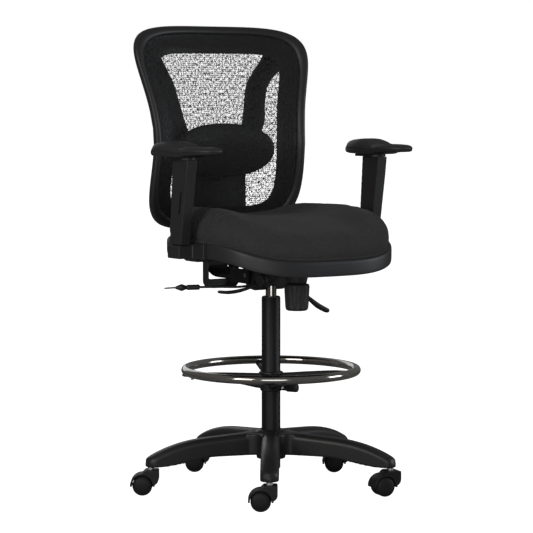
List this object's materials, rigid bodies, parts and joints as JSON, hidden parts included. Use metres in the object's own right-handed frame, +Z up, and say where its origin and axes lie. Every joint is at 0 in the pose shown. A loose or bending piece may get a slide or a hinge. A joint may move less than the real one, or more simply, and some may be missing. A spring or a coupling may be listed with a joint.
{
  "type": "drafting chair",
  "caption": "Tall drafting chair: five-star base on casters, gas column with chrome foot ring, upholstered seat, adjustable arms and a mesh back.",
  "frame": {"origin": "on the floor under the axis of the gas column", "axes": "+Z up, the chair faces -Y, the sitter's left is +X"},
  "size_m": [0.6942, 0.6562, 1.181],
  "materials": {
    "nylon_black": "satin moulded nylon with a fine grain",
    "plastic_black": "moulded polypropylene, fine texture",
    "tube_black": "satin black powder coat",
    "chrome": "polished",
    "steel": "plain",
    "zinc": "zinc plated",
    "seat_fabric": "woven polyester",
    "mesh_black": "open knitted mesh",
    "plywood": "plain moulded plywood"
  },
  "bodies": {
    "base": {"five_star_base": "nylon_black", "column_outer_tube": "tube_black", "column_bushing": "plastic_black", "thrust_bearing": "steel"},
    "piston": {"piston_rod": "steel", "rod_clip": "zinc"},
    "mechanism": {"gas_cylinder": "chrome", "mechanism_housing": "nylon_black", "tension_boot": "plastic_black", "tension_bolt": "steel"},
    "tension_knob": {"tension_knob": "plastic_black"},
    "height_lever": {"height_lever": "plastic_black"},
    "back_lock_lever": {"back_lock_lever": "plastic_black"},
    "tilt_lock_lever": {"tilt_lock_lever": "plastic_black"},
    "foot_ring": {"foot_ring": "chrome", "foot_ring_hub": "nylon_black", "foot_ring_screws": "zinc"},
    "foot_ring_knob": {"foot_ring_knob": "plastic_black"},
    "seat": {"seat_pivot_pin": "steel", "seat_plate": "steel", "seat_pan": "plywood", "seat_shell": "plastic_black", "seat_cushion": "seat_fabric", "seat_bolts": "zinc", "arm_bracket_left": "nylon_black", "arm_bracket_right": "nylon_black", "arm_bolts": "zinc"},
    "arm_left": {"arm_sleeve_left": "nylon_black", "arm_plate_left": "steel", "arm_pad_left": "plastic_black"},
    "arm_right": {"arm_sleeve_right": "nylon_black", "arm_plate_right": "steel", "arm_pad_right": "plastic_black"},
    "back_bar": {"back_pivot_pin": "steel", "back_bar": "tube_black", "back_shroud": "plastic_black"},
    "backrest": {"back_shell": "plastic_black", "back_mesh": "mesh_black", "back_spine": "plastic_black", "back_screws": "zinc"},
    "lumbar": {"lumbar_pad": "plastic_black"},
    "caster_1": {"caster_hood_1": "plastic_black", "caster_stem_1": "zinc"},
    "wheels_1": {"caster_wheels_1": "nylon_black"},
    "caster_2": {"caster_hood_2": "plastic_black", "caster_stem_2": "zinc"},
    "wheels_2": {"caster_wheels_2": "nylon_black"},
    "caster_3": {"caster_hood_3": "plastic_black", "caster_stem_3": "zinc"},
    "wheels_3": {"caster_wheels_3": "nylon_black"},
    "caster_4": {"caster_hood_4": "plastic_black", "caster_stem_4": "zinc"},
    "wheels_4": {"caster_wheels_4": "nylon_black"},
    "caster_5": {"caster_hood_5": "plastic_black", "caster_stem_5": "zinc"},
    "wheels_5": {"caster_wheels_5": "nylon_black"}
  },
  "joints": [
    {"name": "caster_1_swivel", "type": "hinge", "parent": "base", "child": "caster_1", "pos_m": [-0.17579, -0.26259, 0.08], "axis": [0, 0, 1], "continuous": true},
    {"name": "wheels_1_roll", "type": "hinge", "parent": "caster_1", "child": "wheels_1", "pos_m": [-0.1934, -0.25115, 0.025], "axis": [-0.5446, -0.8387, 0], "continuous": true},
    {"name": "caster_2_swivel", "type": "hinge", "parent": "base", "child": "caster_2", "pos_m": [0.19542, -0.24833, 0.08], "axis": [0, 0, 1], "continuous": true},
    {"name": "wheels_2_roll", "type": "hinge", "parent": "caster_2", "child": "wheels_2", "pos_m": [0.1748, -0.24432, 0.025], "axis": [-0.1908, -0.9816, 0], "continuous": true},
    {"name": "caster_3_swivel", "type": "hinge", "parent": "base", "child": "caster_3", "pos_m": [0.29656, 0.10911, 0.08], "axis": [0, 0, 1], "continuous": true},
    {"name": "wheels_3_roll", "type": "hinge", "parent": "caster_3", "child": "wheels_3", "pos_m": [0.27895, 0.12055, 0.025], "axis": [-0.5446, -0.8387, 0], "continuous": true},
    {"name": "caster_4_swivel", "type": "hinge", "parent": "base", "child": "caster_4", "pos_m": [-0.01213, 0.31577, 0.08], "axis": [0, 0, 1], "continuous": true},
    {"name": "wheels_4_roll", "type": "hinge", "parent": "caster_4", "child": "wheels_4", "pos_m": [-0.02974, 0.32721, 0.025], "axis": [-0.5446, -0.8387, 0], "continuous": true},
    {"name": "caster_5_swivel", "type": "hinge", "parent": "base", "child": "caster_5", "pos_m": [-0.30406, 0.08604, 0.08], "axis": [0, 0, 1], "continuous": true},
    {"name": "wheels_5_roll", "type": "hinge", "parent": "caster_5", "child": "wheels_5", "pos_m": [-0.32167, 0.09748, 0.025], "axis": [-0.5446, -0.8387, 0], "continuous": true},
    {"name": "chair_swivel", "type": "hinge", "parent": "base", "child": "piston", "pos_m": [0, 0, 0.06], "axis": [0, 0, 1], "continuous": true},
    {"name": "seat_lift", "type": "slide", "parent": "piston", "child": "mechanism", "axis": [0, 0, 1], "range_m": [-0.012, 0.228]},
    {"name": "foot_ring_height", "type": "slide", "parent": "base", "child": "foot_ring", "axis": [0, 0, 1], "range_m": [-0.09, 0.1]},
    {"name": "foot_ring_clamp", "type": "hinge", "parent": "foot_ring", "child": "foot_ring_knob", "pos_m": [0, 0, 0.262], "axis": [0.4848, -0.8746, 0], "range_deg": [0, 540]},
    {"name": "tension_adjust", "type": "hinge", "parent": "mechanism", "child": "tension_knob", "pos_m": [0, -0.118, 0.5], "axis": [0, 0, 1], "range_deg": [0, 1080]},
    {"name": "height_lever_lift", "type": "hinge", "parent": "mechanism", "child": "height_lever", "pos_m": [0.042, -0.02, 0.524], "axis": [0, -1, 0], "range_deg": [0, 10], "stiffness_Nm_per_rad": 0.6},
    {"name": "back_lock_lift", "type": "hinge", "parent": "mechanism", "child": "back_lock_lever", "pos_m": [-0.042, 0.012, 0.524], "axis": [0, 1, 0], "range_deg": [0, 8]},
    {"name": "tilt_lock_lift", "type": "hinge", "parent": "mechanism", "child": "tilt_lock_lever", "pos_m": [-0.042, -0.008, 0.524], "axis": [0, 1, 0], "range_deg": [0, 10]},
    {"name": "seat_tilt", "type": "hinge", "parent": "mechanism", "child": "seat", "pos_m": [0, -0.06, 0.572], "axis": [-1, 0, 0], "range_deg": [-3, 6]},
    {"name": "back_recline", "type": "hinge", "parent": "mechanism", "child": "back_bar", "pos_m": [0, 0.04, 0.545], "axis": [-1, 0, 0], "range_deg": [-2, 14]},
    {"name": "back_height", "type": "slide", "parent": "back_bar", "child": "backrest", "axis": [0, 0, 1], "range_m": [0, 0.06]},
    {"name": "lumbar_height", "type": "slide", "parent": "backrest", "child": "lumbar", "axis": [0, 0, 1], "range_m": [-0.015, 0.03]},
    {"name": "arm_left_height", "type": "slide", "parent": "seat", "child": "arm_left", "axis": [0, -0.1149, 0.9934], "range_m": [0, 0.08]},
    {"name": "arm_right_height", "type": "slide", "parent": "seat", "child": "arm_right", "axis": [0, -0.1149, 0.9934], "range_m": [0, 0.08]}
  ]
}
